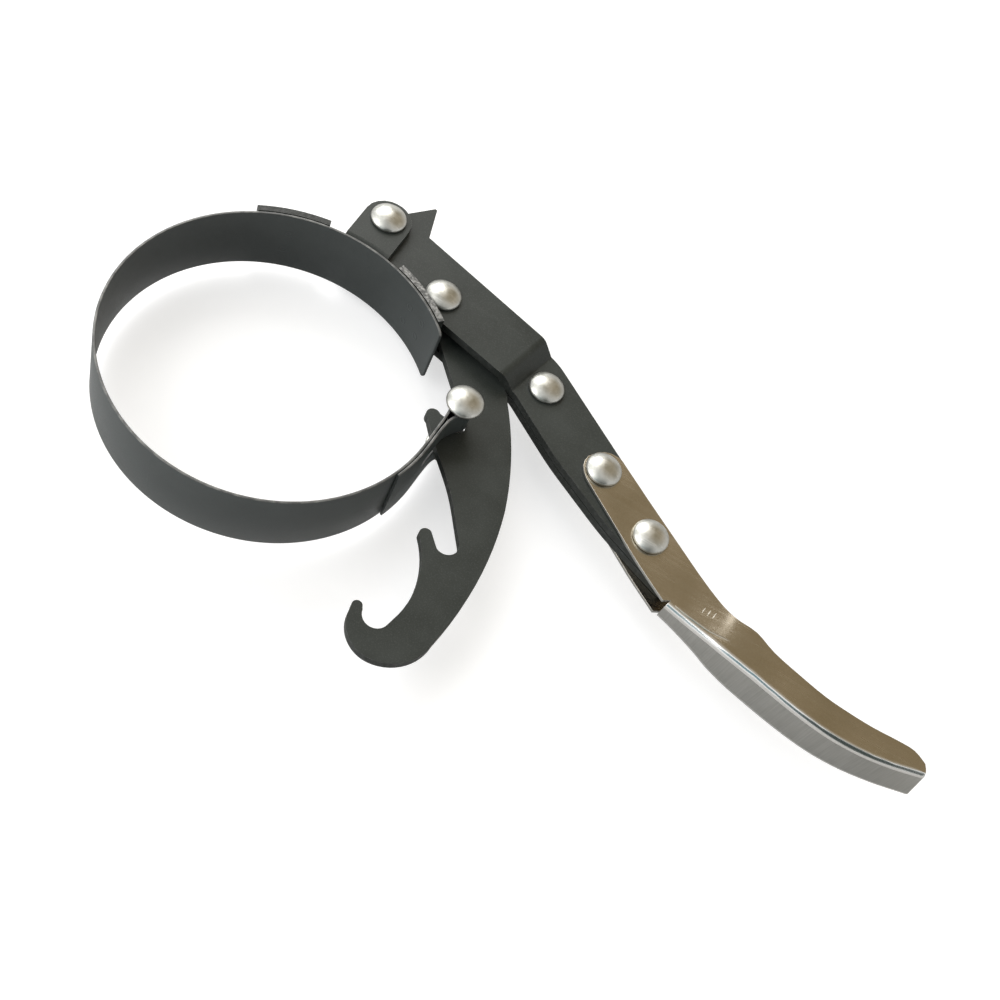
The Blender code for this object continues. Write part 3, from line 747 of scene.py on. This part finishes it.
def grip_marks(height):
    """The ridge beside the fold where the flanges spread, and plain tool marks across the flare."""
    ridge("fold_ridge", FOLD_RIDGE, 0.5, 0.34, height, FLANGE)
    for number in range(TOOL_MARKS):
        start = Vector(TOOL_MARK_START) + Vector((TOOL_MARK_STEP, 0.0)) * number
        end = start + Vector(TOOL_MARK_HEADING) * TOOL_MARK_LENGTH
        ridge(f"tool_mark_{number + 1}", (tuple(start), tuple(end)), 0.18, 0.06, height, SCUFF, 6)


# ---------------------------------------------------------------- the stage


def floor():
    """A pale sheet, brightened only as the camera sees it so that metal parts still mirror a plain grey."""
    size = FLOOR_HALF_SIZE
    corners = [(x, y, FLOOR_LEVEL) for x, y in ((-size, -size), (size, -size), (size, size), (-size, size))]
    n = Nodes("floor_white")
    grain = n.noise(300, 3)
    n.finish(n.mix(n.ramp(grain, 0.3, 0.7), (0.54, 0.54, 0.54), (0.56, 0.56, 0.56)), 0.9, 0.0)
    seen = n.add("ShaderNodeLightPath").outputs["Is Camera Ray"]
    n.shader.inputs["Emission Color"].default_value = (1.0, 1.0, 1.0, 1.0)
    n.join(n.math("MULTIPLY", seen, FLOOR_GLOW), n.shader.inputs["Emission Strength"])
    obj = mesh_object("floor", corners, [(0, 1, 2, 3)], (n.material,))


def light(name, spot, target, size, power):
    """A square lamp, its size in metres and its power in watts."""
    lamp = bpy.data.lights.new(name, "AREA")
    lamp.size = size
    lamp.energy = power
    obj = bpy.data.objects.new(name, lamp)
    obj.location = spot
    obj.rotation_euler = (Vector(target) - Vector(spot)).to_track_quat("-Z", "Y").to_euler()
    bpy.context.scene.collection.objects.link(obj)


def world():
    """A white room whose warm and dark patches show only as metal parts mirror them."""
    made = bpy.data.worlds.new("room")
    made.use_nodes = True
    tree = made.node_tree
    background = tree.nodes["Background"]
    coordinates = tree.nodes.new("ShaderNodeTexCoord")
    patches = (
        ((0.25, 0.55, 0.80), 0.55, 0.92, (0.40, 0.33, 0.22, 1)),
        ((0.40, -0.78, 0.46), 0.84, 0.93, (0.05, 0.065, 0.06, 1)),
        ((-0.20, -0.80, 0.56), 0.95, 0.985, (0.13, 0.25, 0.29, 1)),
    )
    colour = None
    for toward, outer, inner, shade in patches:
        dot = tree.nodes.new("ShaderNodeVectorMath")
        dot.operation = "DOT_PRODUCT"
        tree.links.new(coordinates.outputs["Generated"], dot.inputs[0])
        dot.inputs[1].default_value = Vector(toward).normalized()
        share = tree.nodes.new("ShaderNodeMapRange")
        share.interpolation_type = "SMOOTHSTEP"
        tree.links.new(dot.outputs["Value"], share.inputs["Value"])
        share.inputs["From Min"].default_value = outer
        share.inputs["From Max"].default_value = inner
        blend = tree.nodes.new("ShaderNodeMix")
        blend.data_type = "RGBA"
        tree.links.new(share.outputs["Result"], blend.inputs["Factor"])
        if colour is None:
            blend.inputs["A"].default_value = ROOM_WHITE
        else:
            tree.links.new(colour, blend.inputs["A"])
        blend.inputs["B"].default_value = shade
        colour = blend.outputs["Result"]
    seen = tree.nodes.new("ShaderNodeLightPath").outputs["Is Camera Ray"]
    plain = tree.nodes.new("ShaderNodeMix")
    plain.data_type = "RGBA"
    tree.links.new(seen, plain.inputs["Factor"])
    tree.links.new(colour, plain.inputs["A"])
    plain.inputs["B"].default_value = ROOM_WHITE
    tree.links.new(plain.outputs["Result"], background.inputs[0])
    background.inputs[1].default_value = 1.0
    bpy.context.scene.world = made


def camera():
    """The viewpoint: above and in front of the loop, rolled so that the handle runs down to the right."""
    lens = bpy.data.cameras.new("camera")
    lens.lens = 47.16
    lens.sensor_width = 36.0
    lens.clip_start = 0.01
    obj = bpy.data.objects.new("camera", lens)
    right = Vector((0.8570, 0.4242, 0.2932))
    up = Vector((-0.5157, 0.7049, 0.4873))
    back = Vector((0.0, -0.5686, 0.8226))
    turn = Matrix((right, up, back)).transposed().to_4x4()
    obj.matrix_world = Matrix.Translation(place(67.5, -190.6, 279.07)) @ turn
    bpy.context.scene.collection.objects.link(obj)
    bpy.context.scene.camera = obj


camera()
world()
floor()
light("window", place(-500, 620, 640), place(20, 0), 0.7, 7.0)
light("fill", place(-700, -520, 560), place(40, 0), 0.8, 6.0)

plate("hook_plate", "hook", "black_plate")
plate("arm_plate_upper", "handle", "black_plate")
plate("arm_plate_lower", "handle", "black_plate")
saddle()
strap()
spot_welds()
grip_marks(sheet_top(grip()))
rivet("pivot_rivet", "band")
rivet("strap_pin", "pin", PIN_SHANK_RADIUS)
for node in ("hook_rivet", "arm_rivet", "grip_rivet_front", "grip_rivet_rear"):
    rivet(node, "handle")
for node in ("pivot_sleeve", "hook_spacer_upper", "hook_spacer_lower"):
    part = frame["nodes"][node]
    part.data.materials.clear()
    part.data.materials.append(STEEL)

bpy.context.scene.view_settings.view_transform = "Standard"
bpy.context.scene.view_settings.look = "None"
